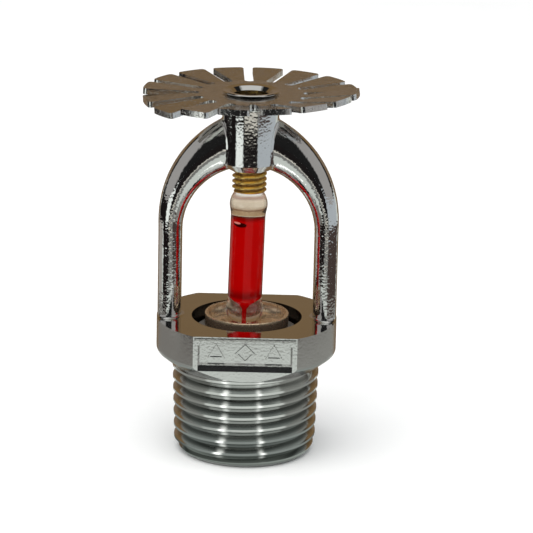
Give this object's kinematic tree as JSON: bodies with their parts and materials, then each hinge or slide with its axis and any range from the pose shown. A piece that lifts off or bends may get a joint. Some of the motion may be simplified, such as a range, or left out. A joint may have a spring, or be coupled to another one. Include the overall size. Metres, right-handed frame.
{
  "type": "fire sprinkler head",
  "caption": "Upright glass-bulb fire sprinkler head with a taper-thread inlet, wrench boss, arched yoke and slotted deflector.",
  "frame": {"origin": "centre of the inlet end face", "axes": "+Z runs along the waterway from the inlet to the deflector; the yoke arms stand at -X and +X; the wrench flats face -Y and +Y"},
  "size_m": [0.0308, 0.0308, 0.0543],
  "materials": {
    "frame_plating": "polished",
    "deflector_plating": "polished",
    "screw_brass": "satin",
    "bulb_glass": "polished",
    "bulb_liquid": "gloss",
    "bulb_bubble": "polished",
    "button_metal": "polished",
    "spring_steel": "brushed",
    "seal_film": "matt"
  },
  "bodies": {
    "frame_body": {"frame": "frame_plating", "deflector": "deflector_plating"},
    "bulb": {"bulb_glass": "bulb_glass", "bulb_liquid": "bulb_liquid", "bulb_bubble": "bulb_bubble"},
    "valve": {"valve_button": "button_metal", "disc_spring": "spring_steel", "upper_seal_film": "seal_film", "lower_seal_film": "seal_film"},
    "screw": {"compression_screw": "screw_brass"}
  },
  "joints": [
    {"name": "bulb_travel", "type": "slide", "parent": "frame_body", "child": "bulb", "axis": [0, 0, 1], "range_m": [0, 0.0032]},
    {"name": "button_lift", "type": "slide", "parent": "frame_body", "child": "valve", "axis": [0, 0, 1], "range_m": [0, 0.0032]},
    {"name": "screw_turn", "type": "hinge", "parent": "bulb", "child": "screw", "pos_m": [0, 0, 0.0445], "axis": [0, 0, 1], "range_deg": [0, 1440]}
  ],
  "couplings": [
    {"joint": "screw_turn", "follows": "bulb_travel", "rad_per_m": 7854},
    {"joint": "button_lift", "follows": "bulb_travel", "ratio": 1}
  ]
}
